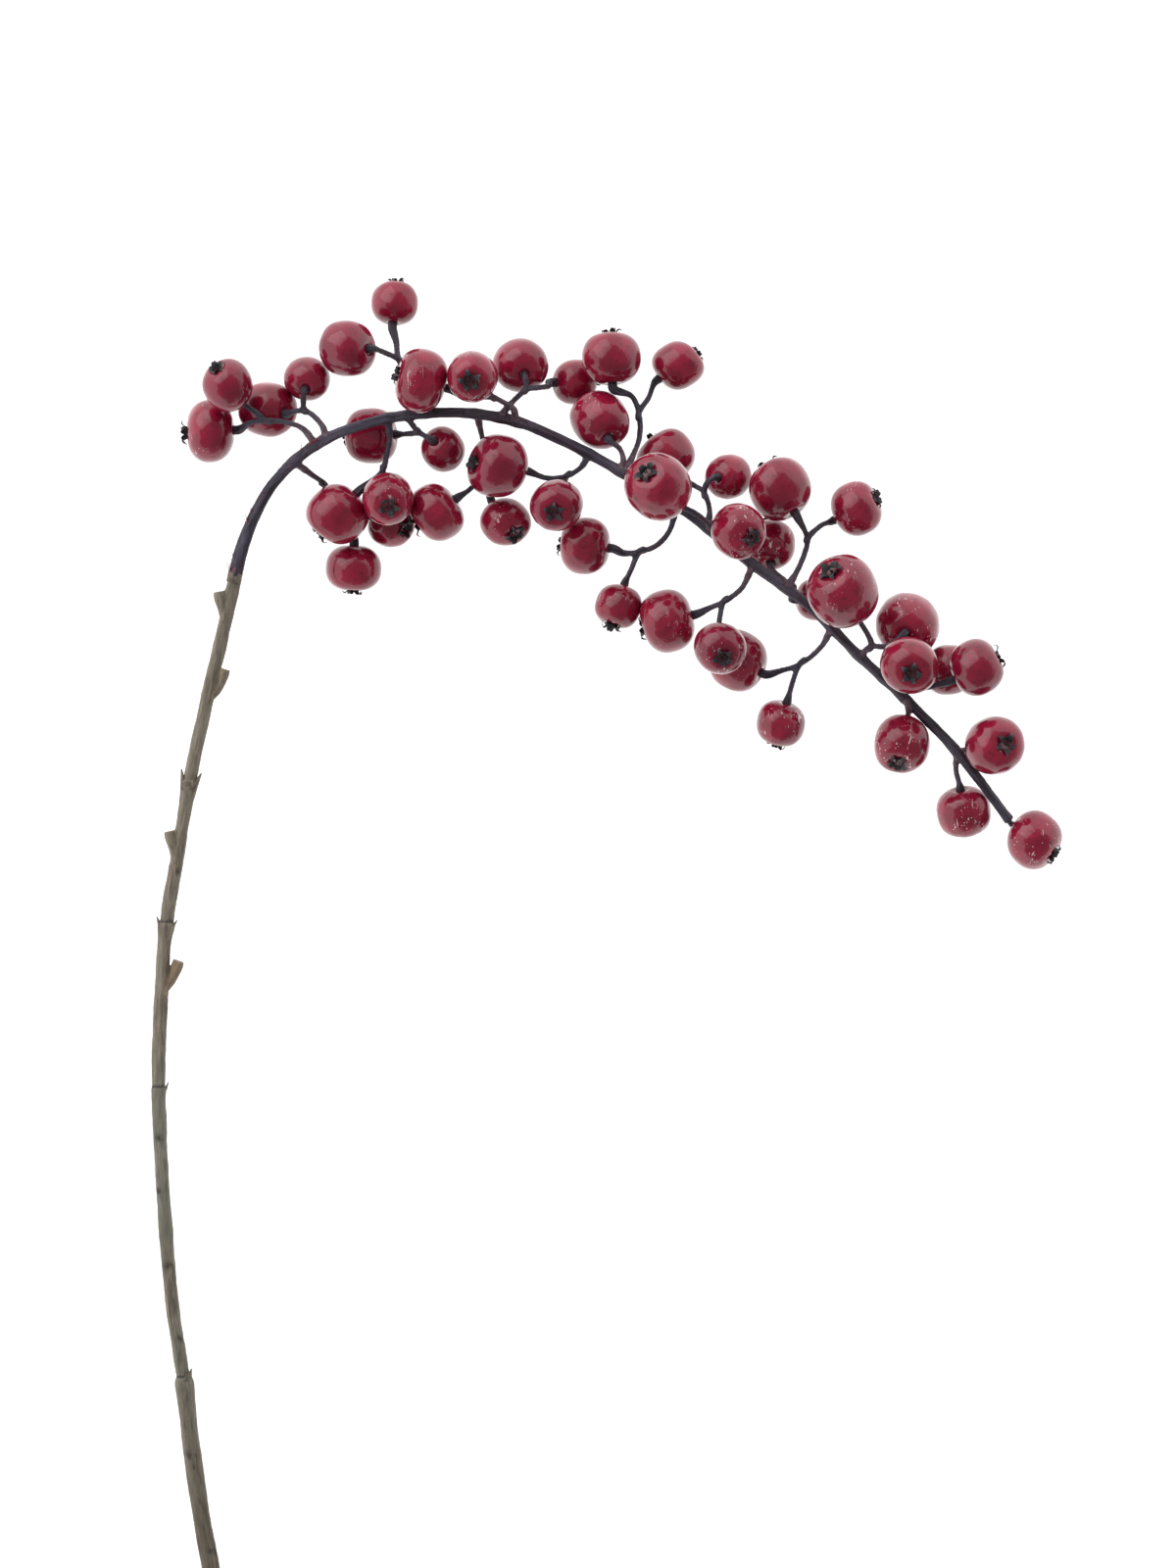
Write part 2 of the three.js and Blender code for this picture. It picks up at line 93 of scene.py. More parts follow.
# Each twig: its route from the branch's middle to its fork, and for each pome it carries, by
# number, the bends of the stalk between the fork and that pome.
TWIGS = [
    ([[12.4, 20.2, 9.9], [10.4, 22.6, 10.2], [7.6, 23.6, 9.8], [4.9, 23.8, 9.2]],
        [(5, [[2.5, 23.6, 8.2]]), (4, [[3.4, 25.0, 9.2]])]),
    ([[14.0, 20.9, 9.9], [13.6, 22.8, 10.2], [11.8, 24.8, 9.8], [10.7, 25.3, 9.6]],
        [(6, [[9.4, 25.3, 9.4]]), (3, [])]),
    ([[9.4, 17.3, 9.7], [11.8, 15.6, 7.8], [13.6, 14.2, 5.2]],
        [
            (23, [[15.3, 10.4, 2.4], [17.1, 7.4, 3.2]]),
            (19, [[16.4, 10.4, 1.9], [18.6, 9.9, 1.1]]),
        ]),
    ([[23.4, 24.0, 10.1], [23.8, 21.6, 9.6], [23.3, 18.6, 9.2], [22.7, 16.2, 8.9]],
        [(17, [[20.6, 14.4, 8.2]]), (18, [])]),
    ([[26.3, 24.5, 10.2], [27.2, 23.2, 9.8], [28.1, 22.1, 9.3]],
        [(15, []), (7, [[26.3, 21.9, 7.4]])]),
    ([[37.1, 24.8, 10.2], [37.7, 22.2, 7.9], [38.2, 19.5, 5.2], [38.3, 16.8, 4.6]],
        [(21, [[38.5, 14.1, 4.7]]), (20, [[36.4, 13.8, 6.6]])]),
    ([[29.6, 24.8, 10.2], [28.7, 27.1, 8.4], [27.1, 30.3, 7.6], [25.1, 33.3, 7.8]],
        [(1, [[24.7, 36.0, 7.0]]), (2, [[23.5, 34.0, 9.4]])]),
    ([[43.1, 23.6, 10.2], [42.7, 25.5, 11.4], [41.0, 26.6, 11.2], [39.5, 27.3, 10.4]],
        [(8, [[36.7, 27.3, 9.8], [34.6, 27.6, 11.2]]), (9, [])]),
    ([[40.6, 24.3, 10.2], [41.8, 25.8, 10.6], [43.4, 27.4, 11.2], [44.6, 28.4, 11.4]],
        [(11, [[46.9, 28.9, 9.6], [48.0, 29.2, 7.4]]), (10, [])]),
    ([[58.9, 16.1, 10.0]],
        [(14, [[59.5, 17.7, 10.4], [58.9, 19.5, 10.4]])]),
    ([[59.6, 15.7, 10.0], [60.8, 18.0, 9.4], [62.0, 21.3, 8.6], [61.9, 25.1, 8.0]],
        [(12, [[60.8, 27.6, 8.6]]), (13, [[63.4, 27.4, 7.0]])]),
    ([[54.2, 18.7, 10.1], [53.2, 16.8, 9.9], [50.8, 15.3, 9.4]],
        [(16, [[47.8, 15.0, 9.2]]), (22, [[50.6, 14.6, 7.6]])]),
    ([[67.6, 10.8, 9.8], [66.7, 7.2, 9.0], [64.7, 4.8, 8.2], [62.0, 3.8, 7.4]],
        [(24, [[59.6, 3.6, 6.8]]), (34, [[60.8, 1.2, 6.2]])]),
    ([[72.4, 7.3, 9.7], [72.7, 10.2, 9.2], [71.9, 12.8, 8.6]],
        [(25, [[70.6, 13.9, 6.4]]), (27, [[72.4, 14.4, 9.0]])]),
    ([[74.0, 6.1, 9.6], [72.4, 8.0, 11.2]],
        [(26, [[70.0, 9.8, 12.2]]), (30, [])]),
    ([[84.2, -1.8, 9.3], [84.5, -1.2, 9.4]],
        [(31, []), (33, [[85.7, -1.5, 7.6]])]),
    ([[84.5, -2.0, 9.3], [86.3, 1.2, 9.0], [87.4, 3.9, 8.6], [87.7, 5.8, 8.6]],
        [(28, []), (29, [[89.8, 7.8, 7.6]])]),
    ([[95.7, -12.2, 8.8], [97.4, -10.8, 9.8]],
        [
            (39, [[99.5, -10.8, 10.2], [101.0, -10.0, 10.4]]),
            (32, [[97.1, -9.4, 9.6]]),
        ]),
    ([[99.4, -15.7, 8.5], [100.9, -15.0, 7.2]],
        [
            (42, [[103.9, -17.1, 8.6], [106.6, -16.9, 10.0]]),
            (40, [[102.3, -14.0, 6.6]]),
            (41, [[103.9, -15.3, 7.2]]),
        ]),
    ([[79.3, 1.8, 9.5], [77.6, -1.8, 8.8], [74.8, -3.9, 7.9]],
        [(35, [[72.7, -4.8, 7.2]]), (36, [[74.3, -6.0, 8.6]])]),
    ([[91.4, -7.8, 9.0], [89.8, -10.8, 8.2], [86.5, -13.5, 6.8]],
        [(37, [[83.8, -14.4, 5.6]]), (38, [[85.4, -16.6, 6.0]])]),
    ([[102.8, -18.9, 8.2]],
        [(43, [[103.1, -20.1, 9.0]])]),
    ([[110.6, -26.8, 7.2]],
        [(45, [[110.6, -29.7, 6.0]]), (44, [])]),
    ([[118.6, -37.2, 5.7]],
        [(46, [])]),
]

CANE_FOOT_RADIUS = 1.36
CANE_RADIUS = 1.05
# foot to tip, evenly along the branch
BRANCH_RADIUS = [1.14, 0.82, 0.78, 0.78, 0.78, 0.78, 0.77, 0.77, 0.76, 0.75, 0.68]
TWIG_FOOT_RADIUS = 0.62
TWIG_RADIUS = 0.43
STALK_END_RADIUS = 0.74

# The frame's pome, as fractions of its half width and half length: its stalk dimple and the rim
# of corners round it, from which a pome's middle, axis and size are read back.
DIMPLE_DEPTH = 0.84
RIM_DEPTH = 0.96
RIM_RADIUS = 0.42

NEAR_RINGS = 4               # rings that compete for a point of the fused skin

POME_COUNT = 46
POME_ROUND = 64
POME_LONG = 40
SEPALS = 5


# ---- Small helpers -------------------------------------------------------------------------------

def place(point):
    return Vector((SLEEVE_X + point[0], SLEEVE_Y + point[1], point[2])) * MM


def ramp(value, low, high):
    share = min(1.0, max(0.0, (value - low) / (high - low)))
    return share * share * (3 - 2 * share)


def bell(distance, half):
    return math.exp(-((distance / half) ** 2))


def new_object(name, vertices, faces, materials, smooth=True):
    mesh = bpy.data.meshes.new(name)
    mesh.from_pydata([tuple(v) for v in vertices], [], faces)
    mesh.validate()
    piece = bpy.data.objects.new(name, mesh)
    bpy.context.scene.collection.objects.link(piece)
    for material in materials:
        mesh.materials.append(material)
    if smooth:
        mesh.shade_smooth()
    return piece


def belongs(piece, slot, *nodes):
    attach(piece, BODY)
    if nodes:
        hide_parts(*nodes)


def store(mesh, name, kind, values):
    layer = mesh.attributes.new(name, kind, "POINT")
    field = "vector" if kind == "FLOAT_VECTOR" else "value"
    layer.data.foreach_set(field, np.asarray(values, dtype=np.float32).ravel())


# ---- Routes and tubes ----------------------------------------------------------------------------

def spline_point(corners, share):
    """A point between the middle two of four corners on their centripetal spline."""
    knots = [0.0]
    for a, b in zip(corners, corners[1:]):
        knots.append(knots[-1] + max(1e-6, (b - a).length ** 0.5))
    t = knots[1] + (knots[2] - knots[1]) * share

    def mix(a, b, ta, tb):
        return a * ((tb - t) / (tb - ta)) + b * ((t - ta) / (tb - ta))

    a1 = mix(corners[0], corners[1], knots[0], knots[1])
    a2 = mix(corners[1], corners[2], knots[1], knots[2])
    a3 = mix(corners[2], corners[3], knots[2], knots[3])
    b1 = mix(a1, a2, knots[0], knots[2])
    b2 = mix(a2, a3, knots[1], knots[3])
    return mix(b1, b2, knots[1], knots[2])


def smooth_route(points, step):
    """The route's points as an evenly stepped smooth curve."""
    ends = [points[0] * 2 - points[1], *points, points[-1] * 2 - points[-2]]
    fine = []
    for i in range(len(points) - 1):
        fine += [spline_point(ends[i:i + 4], k / 12) for k in range(12)]
    fine.append(points[-1])
    array = np.array([tuple(p) for p in fine])
    along = np.concatenate([[0], np.cumsum(np.linalg.norm(np.diff(array, axis=0), axis=1))])
    count = max(6, int(round(along[-1] / step)))
    even = np.linspace(0, along[-1], count + 1)
    return np.stack([np.interp(even, along, array[:, axis]) for axis in range(3)], axis=1), even


class Limb:
    """A tapering stem: evenly stepped centres, the length along it and its radius at each."""

    def __init__(self, points, radius_at, step, seed=0.0):
        self.centres, self.along = smooth_route(points, step)
        self.length = self.along[-1]
        self.seed = seed
        self.radii = np.array([radius_at(s / self.length, s) for s in self.along])
        tangents = np.gradient(self.centres, axis=0)
        self.tangents = tangents / np.linalg.norm(tangents, axis=1)[:, None]
        across = np.array([0.0, 0.0, 1.0])
        rows = []
        for tangent in self.tangents:
            across = across - tangent * across.dot(tangent)
            across = across / np.linalg.norm(across)
            rows.append(across)
        self.across = np.array(rows)
        self.beside = np.cross(self.tangents, self.across)

    def add_tube(self, vertices, faces, sides):
        """Appends the limb as a closed tube."""
        first = len(vertices)
        for centre, radius, across, beside in zip(self.centres, self.radii, self.across, self.beside):
            for side in range(sides):
                turn = 2 * math.pi * side / sides
                vertices.append(centre + radius * (math.cos(turn) * across + math.sin(turn) * beside))
        last = first + (len(self.centres) - 1) * sides
        for side in range(sides):
            after = (side + 1) % sides
            for ring in range(first, last, sides):
                faces.append((ring + side, ring + after, ring + sides + after, ring + sides + side))
        faces.append(tuple(first + side for side in reversed(range(sides))))
        faces.append(tuple(last + side for side in range(sides)))


def fused(name, limbs, sides, voxel, smoothing, materials):
    """All the limbs in one skin, remeshed and softened; carve gives each point its grain: its place round
    and along its own limb.
    """
    vertices = []
    faces = []
    for limb in limbs:
        limb.add_tube(vertices, faces, sides)
    piece = new_object(name, vertices, faces, materials)
    remesh = piece.modifiers.new("skin", "REMESH")
    remesh.mode = "VOXEL"
    remesh.voxel_size = voxel
    smooth = piece.modifiers.new("soften", "CORRECTIVE_SMOOTH")
    smooth.use_only_smooth = True
    smooth.smooth_type = "LENGTH_WEIGHTED"
    smooth.iterations = smoothing
    smooth.rest_source = "ORCO"
    baked = bpy.data.meshes.new_from_object(piece.evaluated_get(bpy.context.evaluated_depsgraph_get()))
    piece.modifiers.clear()
    old = piece.data
    piece.data = baked
    bpy.data.meshes.remove(old)
    baked.name = name
    baked.shade_smooth()
    return piece


def nearest_limbs(mesh, limbs):
    """For each vertex the limb and ring it lies on."""
    rows = [(i, k) for i, limb in enumerate(limbs) for k in range(len(limb.centres))]
    tree = kdtree.KDTree(len(rows))
    for n, (i, k) in enumerate(rows):
        tree.insert(limbs[i].centres[k], n)
    tree.balance()

    def outside(hit):
        i, k = rows[hit[1]]
        return hit[2] - limbs[i].radii[k]

    found = []
    for vertex in mesh.vertices:
        best = min(tree.find_n(vertex.co, NEAR_RINGS), key=outside)
        found.append(rows[best[1]])
    return found


def carve(piece, limbs, relief):
    """Moves each point in or out by its limb's relief and stores its grain; returns its limb's number."""
    mesh = piece.data
    grain = []
    moved = []
    owners = nearest_limbs(mesh, limbs)
    for vertex, (i, k) in zip(mesh.vertices, owners):
        limb = limbs[i]
        offset = np.array(vertex.co) - limb.centres[k]
        step = offset.dot(limb.tangents[k])
        radial = offset - step * limb.tangents[k]
        size = max(1e-9, np.linalg.norm(radial))
        cosine = radial.dot(limb.across[k]) / size
        sine = radial.dot(limb.beside[k]) / size
        s = limb.along[k] + step
        moved.append(np.array(vertex.co) + radial / size * relief(limb, i, s, cosine, sine))
        grain.append((cosine * limb.radii[k] / MM, sine * limb.radii[k] / MM, s / MM + 40 * limb.seed))
    mesh.vertices.foreach_set("co", np.asarray(moved, dtype=np.float32).ravel())
    store(mesh, "grain", "FLOAT_VECTOR", grain)
    mesh.update()
    return [i for i, k in owners]


# ---- Reading the pomes back from the frame -------------------------------------------------------

class Pome:
    """A fruit's middle, calyx direction, half width and half length, from its node in the frame."""

    def __init__(self, number):
        self.number = number
        self.name = f"berry_{number:02d}"
        mesh = frame["nodes"][self.name].data
        merged = {}
        corner_of = []
        for vertex in mesh.vertices:
            key = tuple(round(c / MM, 3) for c in vertex.co)
            corner_of.append(merged.setdefault(key, len(merged)))
        corners = [Vector(key) * MM for key in merged]
        around = [set() for _ in corners]
        faces_at = [0] * len(corners)
        mesh.calc_loop_triangles()
        for triangle in mesh.loop_triangles:
            ring = [corner_of[v] for v in triangle.vertices]
            for corner in ring:
                faces_at[corner] += 1
                around[corner].update(other for other in ring if other != corner)
        pole = max(range(len(corners)), key=lambda corner: faces_at[corner])
        rim = [corners[other] for other in around[pole]]
        rim_middle = sum(rim, Vector()) / len(rim)
        self.axis = (corners[pole] - rim_middle).normalized()
        self.half_length = (corners[pole] - rim_middle).length / (RIM_DEPTH - DIMPLE_DEPTH)
        self.half_width = sum((c - rim_middle).length for c in rim) / len(rim) / RIM_RADIUS
        self.middle = corners[pole] + self.axis * self.half_length * DIMPLE_DEPTH
        self.seat = self.middle - self.axis * self.half_length * (DIMPLE_DEPTH + 0.02)
        self.random = random.Random(100 + number)
        side = self.axis.orthogonal().normalized()
        self.turn = Matrix((side, self.axis.cross(side), self.axis)).transposed()

    def to_world(self, x, y, z):
        return self.middle + self.turn @ Vector((x, y, z))


# ---- Shader groups -------------------------------------------------------------------------------

def group(name, inputs, outputs):
    """An empty node group with the given sockets; returns it with its input and output nodes."""
    tree = bpy.data.node_groups.new(name, "ShaderNodeTree")
    for label, kind, value in inputs:
        socket = tree.interface.new_socket(label, in_out="INPUT", socket_type=kind)
        if value is not None:
            socket.default_value = value
    for label, kind in outputs:
        tree.interface.new_socket(label, in_out="OUTPUT", socket_type=kind)
    return tree, tree.nodes.new("NodeGroupInput"), tree.nodes.new("NodeGroupOutput")


def put(tree, value, socket):
    """A socket's value: a link when another socket is given, else a plain number or colour."""
    if hasattr(value, "is_output"):
        tree.links.new(value, socket)
    else:
        socket.default_value = value


def math_node(tree, operation, a, b=0.0, c=0.0):
    node = tree.nodes.new("ShaderNodeMath")
    node.operation = operation
    put(tree, a, node.inputs[0])
    put(tree, b, node.inputs[1])
    put(tree, c, node.inputs[2])
    return node.outputs[0]


def noise_node(tree, vector, scale, detail=3.0, roughness=0.5, distortion=0.0):
    node = tree.nodes.new("ShaderNodeTexNoise")
    put(tree, vector, node.inputs["Vector"])
    put(tree, scale, node.inputs["Scale"])
    put(tree, detail, node.inputs["Detail"])
    put(tree, roughness, node.inputs["Roughness"])
    put(tree, distortion, node.inputs["Distortion"])
    return node.outputs[0]


def ramp_node(tree, value, stops):
    """A grey ramp through (place, grey) stops."""
    node = tree.nodes.new("ShaderNodeValToRGB")
    put(tree, value, node.inputs[0])
    marks = node.color_ramp.elements
    while len(marks) < len(stops):
        marks.new(0.5)
    for mark, (where, grey) in zip(marks, stops):
        mark.position = where
        mark.color = (grey, grey, grey, 1.0)
    return node.outputs[0]


def mix_colour(tree, factor, a, b, blend="MIX"):
    node = tree.nodes.new("ShaderNodeMix")
    node.data_type = "RGBA"
    node.blend_type = blend
    put(tree, factor, node.inputs[0])
    put(tree, a, node.inputs[6])
    put(tree, b, node.inputs[7])
    return node.outputs[2]


def scaled(tree, vector, scale):
    node = tree.nodes.new("ShaderNodeMapping")
    put(tree, vector, node.inputs["Vector"])
    node.inputs["Scale"].default_value = scale
    return node.outputs[0]


def attribute(tree, name, output="Fac"):
    node = tree.nodes.new("ShaderNodeAttribute")
    node.attribute_name = name
    return node.outputs[output]


def object_place(tree):
    return tree.nodes.new("ShaderNodeTexCoord").outputs["Object"]


def make_streaks_group():
    """Long fibres and fine cracks that run along the wood's own grain."""
    inputs = [("Grain", "NodeSocketVector", None), ("Fineness", "NodeSocketFloat", 1.0)]
    outputs = [(label, "NodeSocketFloat") for label in ("Fibres", "Cracks", "Patches")]
    tree, given, out = group("streaks", inputs, outputs)
    fine = scaled(tree, given.outputs["Grain"], (3.4, 3.4, 0.32))
    fibres = ramp_node(tree, noise_node(tree, fine, given.outputs["Fineness"], 5.0, 0.62),
                       [(0.34, 0.0), (0.66, 1.0)])
    cracked = scaled(tree, given.outputs["Grain"], (1.7, 1.7, 0.2))
    cracks = ramp_node(tree, noise_node(tree, cracked, given.outputs["Fineness"], 4.0, 0.55, 0.4),
                       [(0.0, 1.0), (0.36, 1.0), (0.43, 0.0), (1.0, 0.0)])
    patches = noise_node(tree, scaled(tree, given.outputs["Grain"], (0.35, 0.35, 0.12)), 1.0, 3.0, 0.6)
    tree.links.new(fibres, out.inputs["Fibres"])
    tree.links.new(cracks, out.inputs["Cracks"])
    tree.links.new(patches, out.inputs["Patches"])
    return tree


def make_flecks_group():
    """Small scattered specks, of a given size and share of the cells."""
    inputs = [("Place", "NodeSocketVector", None), ("Scale", "NodeSocketFloat", 1000.0),
              ("Size", "NodeSocketFloat", 0.2), ("Share", "NodeSocketFloat", 0.5)]
    tree, given, out = group("flecks", inputs, [("Mask", "NodeSocketFloat")])
    cells = tree.nodes.new("ShaderNodeTexVoronoi")
    tree.links.new(given.outputs["Place"], cells.inputs["Vector"])
    tree.links.new(given.outputs["Scale"], cells.inputs["Scale"])
    inside = math_node(tree, "LESS_THAN", cells.outputs["Distance"], given.outputs["Size"])
    chosen = math_node(tree, "LESS_THAN", separate(tree, cells.outputs["Color"]), given.outputs["Share"])
    tree.links.new(math_node(tree, "MULTIPLY", inside, chosen), out.inputs["Mask"])
    return tree


def separate(tree, colour):
    node = tree.nodes.new("ShaderNodeSeparateColor")
    tree.links.new(colour, node.inputs[0])
    return node.outputs[0]


def place_group(tree, shared, **values):
    node = tree.nodes.new("ShaderNodeGroup")
    node.node_tree = shared
    for label, value in values.items():
        put(tree, value, node.inputs[label])
    return node.outputs


def material(name):
    made = bpy.data.materials.new(name)
    made.use_nodes = True
    tree = made.node_tree
    return made, tree, tree.nodes["Principled BSDF"]


def bump(tree, shader, height, strength, distance):
    node = tree.nodes.new("ShaderNodeBump")
    node.inputs["Strength"].default_value = strength
    node.inputs["Distance"].default_value = distance
    put(tree, height, node.inputs["Height"])
    tree.links.new(node.outputs[0], shader.inputs["Normal"])


streaks = make_streaks_group()
flecks = make_flecks_group()


# ---- Materials -----------------------------------------------------------------------------------

def pome_skin():
    """Deep glossy red: mottled, freckled, darker at both ends, and here and there dusty and scratched."""
    made, tree, shader = material("pome_skin")
    where = object_place(tree)
    ends = attribute(tree, "ends")
    ripeness_and_painted_light = attribute(tree, "ripeness_and_painted_light")
    mottled = noise_node(tree, where, 330.0, 4.0, 0.55)
    tone = ramp_node(tree, mottled, [(0.35, 0.0), (0.65, 1.0)])
    colour = mix_colour(tree, tone, (0.2, 0.0035, 0.022, 1), (0.32, 0.0075, 0.038, 1))
    # Riper fruit is mixed towards a darker red; the lighter red of the low fruit is painted light.
    colour = mix_colour(tree, ripeness_and_painted_light, colour, (0.13, 0.002, 0.022, 1))
    freckled = ramp_node(tree, noise_node(tree, where, 1300.0, 3.0, 0.6), [(0.34, 0.55), (0.42, 0.0)])
    colour = mix_colour(tree, freckled, colour, (0.09, 0.001, 0.012, 1))
    colour = mix_colour(tree, ends, colour, (0.035, 0.004, 0.007, 1))
    cloud = ramp_node(tree, noise_node(tree, where, 210.0, 2.0, 0.5), [(0.5, 0.0), (0.6, 1.0)])
    dusty = math_node(tree, "MULTIPLY", attribute(tree, "dusty"), cloud)
    specks = place_group(tree, flecks, Place=where, Scale=2600.0, Size=0.22, Share=0.3)["Mask"]
    scratched = noise_node(tree, scaled(tree, where, (1.0, 0.22, 0.6)), 2300.0, 2.0, 0.5, 0.6)
    scratches = ramp_node(tree, scratched, [(0.65, 0.0), (0.68, 1.0)])
    dust = math_node(tree, "MULTIPLY", math_node(tree, "MAXIMUM", specks, scratches), dusty)
    colour = mix_colour(tree, dust, colour, (0.8, 0.72, 0.72, 1))
    tree.links.new(colour, shader.inputs["Base Color"])
    smear = noise_node(tree, where, 240.0, 3.0, 0.6)
    tree.links.new(math_node(tree, "MULTIPLY_ADD", smear, 0.3, 0.15), shader.inputs["Roughness"])
    shader.inputs["Specular IOR Level"].default_value = 0.12
    tree.links.new(ramp_node(tree, smear, [(0.3, 1.0), (0.8, 0.85)]), shader.inputs["Coat Weight"])
    shader.inputs["Coat Roughness"].default_value = 0.03
    shader.inputs["Coat IOR"].default_value = 1.5
    broad = noise_node(tree, where, 420.0, 2.0, 0.5)
    fine = noise_node(tree, where, 1500.0, 2.0, 0.5)
    bump(tree, shader, math_node(tree, "MULTIPLY_ADD", fine, 0.16, broad), 0.3, 0.00014)
    return made


def calyx_husk():
    """Dried sepals: near-black, greyed towards their tips."""
    made, tree, shader = material("calyx_husk")
    where = object_place(tree)
    fine = noise_node(tree, where, 1500.0, 5.0, 0.65)
    broad = noise_node(tree, where, 420.0, 3.0, 0.5)
    tip = attribute(tree, "tip")
    colour = mix_colour(tree, fine, (0.006, 0.006, 0.008, 1), (0.034, 0.035, 0.042, 1))
    greyed = ramp_node(tree, math_node(tree, "MULTIPLY", tip, broad), [(0.3, 0.0), (0.6, 1.0)])
    colour = mix_colour(tree, greyed, colour, (0.095, 0.09, 0.095, 1))
    tree.links.new(colour, shader.inputs["Base Color"])
    tree.links.new(ramp_node(tree, fine, [(0.2, 0.5), (0.8, 0.85)]), shader.inputs["Roughness"])
    bump(tree, shader, fine, 0.6, 0.0001)
    return made


def branch_bark():
    """Young bark: plum-black, with a waxy bloom, grey fibres, pink scaly patches and red flecks."""
    made, tree, shader = material("branch_bark")
    grain = attribute(tree, "grain", "Vector")
    marks = place_group(tree, streaks, Grain=grain, Fineness=1.0)
    colour = mix_colour(tree, marks["Fibres"], (0.016, 0.012, 0.023, 1), (0.083, 0.071, 0.108, 1))
    bloom = ramp_node(tree, marks["Patches"], [(0.48, 0.0), (0.72, 0.5)])
    colour = mix_colour(tree, bloom, colour, (0.115, 0.105, 0.148, 1))
    plum = ramp_node(tree, marks["Patches"], [(0.3, 0.6), (0.46, 0.0)])
    colour = mix_colour(tree, plum, colour, (0.05, 0.016, 0.026, 1))
    cracked = math_node(tree, "MULTIPLY", marks["Cracks"], 0.85)
    colour = mix_colour(tree, cracked, colour, (0.008, 0.007, 0.009, 1))
    stretched = scaled(tree, grain, (1.0, 1.0, 0.45))
    red = place_group(tree, flecks, Place=stretched, Scale=1.0, Size=0.2, Share=0.16)["Mask"]
    colour = mix_colour(tree, math_node(tree, "MULTIPLY", red, 0.7), colour, (0.26, 0.035, 0.06, 1))
    scales = ramp_node(tree, noise_node(tree, grain, 1.6, 4.0, 0.65), [(0.4, 0.2), (0.58, 0.9)])
    scaly = math_node(tree, "MULTIPLY", attribute(tree, "scaly"), scales)
    colour = mix_colour(tree, scaly, colour, (0.27, 0.165, 0.185, 1))
    worn = attribute(tree, "worn")
    colour = mix_colour(tree, worn, colour, (0.016, 0.012, 0.013, 1))
    tree.links.new(colour, shader.inputs["Base Color"])
    tree.links.new(ramp_node(tree, marks["Fibres"], [(0.0, 0.42), (1.0, 0.64)]), shader.inputs["Roughness"])
    shader.inputs["Specular IOR Level"].default_value = 0.4
    relief = math_node(tree, "SUBTRACT", marks["Fibres"], math_node(tree, "MULTIPLY", marks["Cracks"], 0.7))
    bump(tree, shader, relief, 0.6, 0.00018)
    return made


def cane_bark():
    """Old bark: olive-grey and weathered, with brown patches, dark cracks and tan cut faces."""
    made, tree, shader = material("cane_bark")
    grain = attribute(tree, "grain", "Vector")
    marks = place_group(tree, streaks, Grain=grain, Fineness=0.9)
    colour = mix_colour(tree, marks["Fibres"], (0.115, 0.089, 0.064, 1), (0.31, 0.255, 0.187, 1))
    long_way = scaled(tree, grain, (0.05, 0.05, 0.028))
    mossy = ramp_node(tree, noise_node(tree, long_way, 1.0, 2.0, 0.5), [(0.36, 0.2), (0.58, 0.9)])
    mossy = math_node(tree, "MULTIPLY", mossy, attribute(tree, "moss"))
    colour = mix_colour(tree, mossy, colour, (0.16, 0.175, 0.138, 1))
    weathered = ramp_node(tree, marks["Patches"], [(0.45, 0.0), (0.68, 0.6)])
    colour = mix_colour(tree, weathered, colour, (0.29, 0.265, 0.21, 1))
    cracked = math_node(tree, "MULTIPLY", marks["Cracks"], 0.4)
    colour = mix_colour(tree, cracked, colour, (0.06, 0.043, 0.034, 1))
    stretched = scaled(tree, grain, (0.8, 0.8, 0.35))
    spots = place_group(tree, flecks, Place=stretched, Scale=1.0, Size=0.2, Share=0.1)["Mask"]
    colour = mix_colour(tree, math_node(tree, "MULTIPLY", spots, 0.55), colour, (0.055, 0.04, 0.034, 1))
    colour = mix_colour(tree, attribute(tree, "age"), colour, (0.6, 0.57, 0.51, 1), "MULTIPLY")
    scar = attribute(tree, "scar")
    colour = mix_colour(tree, math_node(tree, "MULTIPLY", scar, 0.9), colour, (0.028, 0.02, 0.018, 1))
    cut = attribute(tree, "cut")
    wood = mix_colour(tree, marks["Fibres"], (0.16, 0.105, 0.06, 1), (0.4, 0.3, 0.19, 1))
    colour = mix_colour(tree, cut, colour, wood)
    tree.links.new(colour, shader.inputs["Base Color"])
    tree.links.new(ramp_node(tree, marks["Fibres"], [(0.2, 0.55), (0.8, 0.82)]), shader.inputs["Roughness"])
    relief = math_node(tree, "SUBTRACT", marks["Fibres"], math_node(tree, "MULTIPLY", marks["Cracks"], 0.8))
    bump(tree, shader, relief, 0.55, 0.00025)
    return made


SKIN = pome_skin()
HUSK = calyx_husk()
BRANCH = branch_bark()
CANE = cane_bark()


# ---- Pomes ---------------------------------------------------------------------------------------

